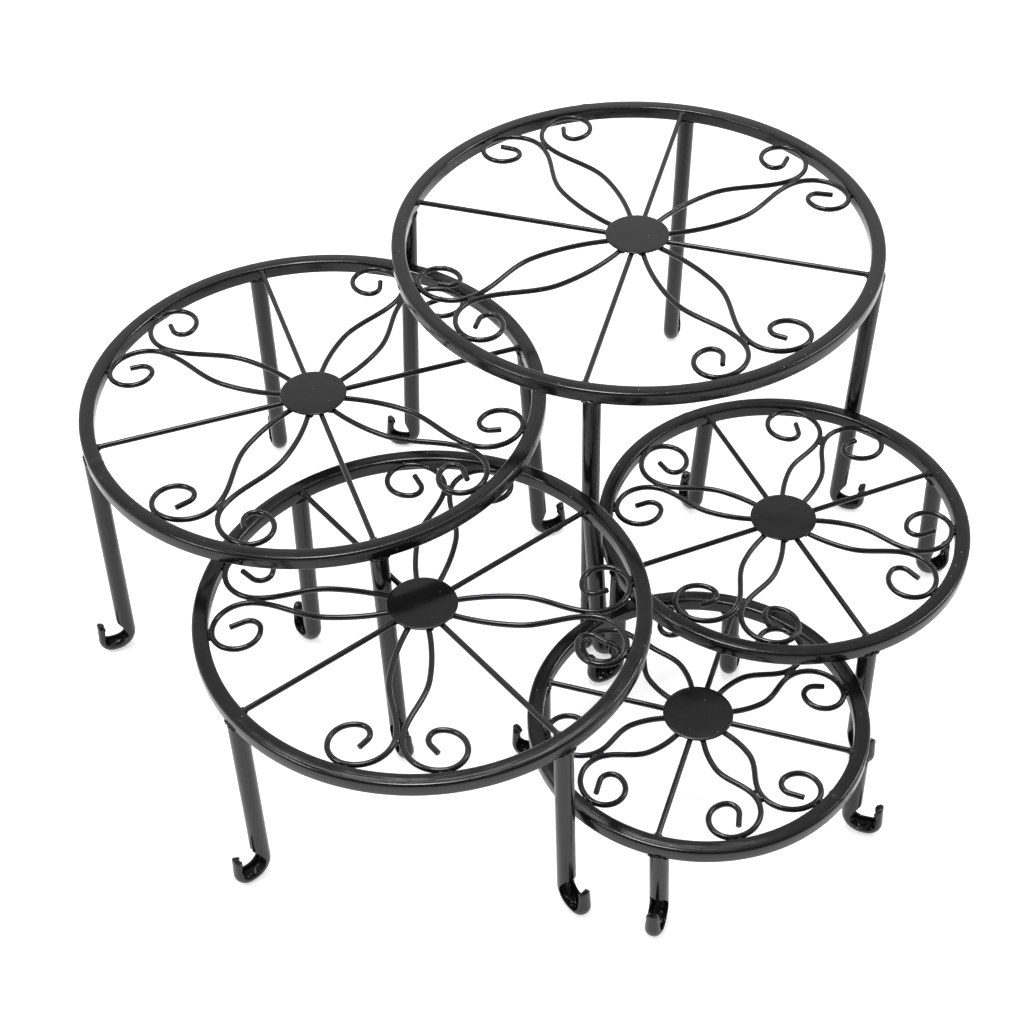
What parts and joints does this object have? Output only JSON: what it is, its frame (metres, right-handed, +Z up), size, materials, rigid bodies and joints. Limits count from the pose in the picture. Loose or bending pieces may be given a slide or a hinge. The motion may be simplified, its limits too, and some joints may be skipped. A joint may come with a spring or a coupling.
{
  "type": "plant stand set",
  "caption": "Set of round black metal plant stands that step down in size and height, with scrolled wire tops and curled tube feet.",
  "frame": {"origin": "centre of the footprint of the whole set, on the floor", "axes": "+Z up from the floor; +X to the right and +Y to the back as the set is seen from the front, with the tallest stand at the back right and the lowest at the front right"},
  "size_m": [0.611, 0.6048, 0.2259],
  "materials": {
    "black_gloss_paint": "gloss black enamel over welded mild steel"
  },
  "bodies": {
    "root": {"stand1_centre_disc": "black_gloss_paint", "stand1_leg_1": "black_gloss_paint", "stand1_leg_2": "black_gloss_paint", "stand1_leg_3": "black_gloss_paint", "stand1_leg_4": "black_gloss_paint", "stand1_petal_1": "black_gloss_paint", "stand1_petal_2": "black_gloss_paint", "stand1_petal_3": "black_gloss_paint", "stand1_petal_4": "black_gloss_paint", "stand1_ring": "black_gloss_paint", "stand1_spokes": "black_gloss_paint", "stand2_centre_disc": "black_gloss_paint", "stand2_leg_1": "black_gloss_paint", "stand2_leg_2": "black_gloss_paint", "stand2_leg_3": "black_gloss_paint", "stand2_leg_4": "black_gloss_paint", "stand2_petal_1": "black_gloss_paint", "stand2_petal_2": "black_gloss_paint", "stand2_petal_3": "black_gloss_paint", "stand2_petal_4": "black_gloss_paint", "stand2_ring": "black_gloss_paint", "stand2_spokes": "black_gloss_paint", "stand3_centre_disc": "black_gloss_paint", "stand3_leg_1": "black_gloss_paint", "stand3_leg_2": "black_gloss_paint", "stand3_leg_3": "black_gloss_paint", "stand3_leg_4": "black_gloss_paint", "stand3_petal_1": "black_gloss_paint", "stand3_petal_2": "black_gloss_paint", "stand3_petal_3": "black_gloss_paint", "stand3_petal_4": "black_gloss_paint", "stand3_ring": "black_gloss_paint", "stand3_spokes": "black_gloss_paint", "stand4_centre_disc": "black_gloss_paint", "stand4_leg_1": "black_gloss_paint", "stand4_leg_2": "black_gloss_paint", "stand4_leg_3": "black_gloss_paint", "stand4_leg_4": "black_gloss_paint", "stand4_petal_1": "black_gloss_paint", "stand4_petal_2": "black_gloss_paint", "stand4_petal_3": "black_gloss_paint", "stand4_petal_4": "black_gloss_paint", "stand4_ring": "black_gloss_paint", "stand4_spokes": "black_gloss_paint", "stand5_centre_disc": "black_gloss_paint", "stand5_leg_1": "black_gloss_paint", "stand5_leg_2": "black_gloss_paint", "stand5_leg_3": "black_gloss_paint", "stand5_leg_4": "black_gloss_paint", "stand5_petal_1": "black_gloss_paint", "stand5_petal_2": "black_gloss_paint", "stand5_petal_3": "black_gloss_paint", "stand5_petal_4": "black_gloss_paint", "stand5_ring": "black_gloss_paint", "stand5_spokes": "black_gloss_paint"}
  },
  "joints": []
}
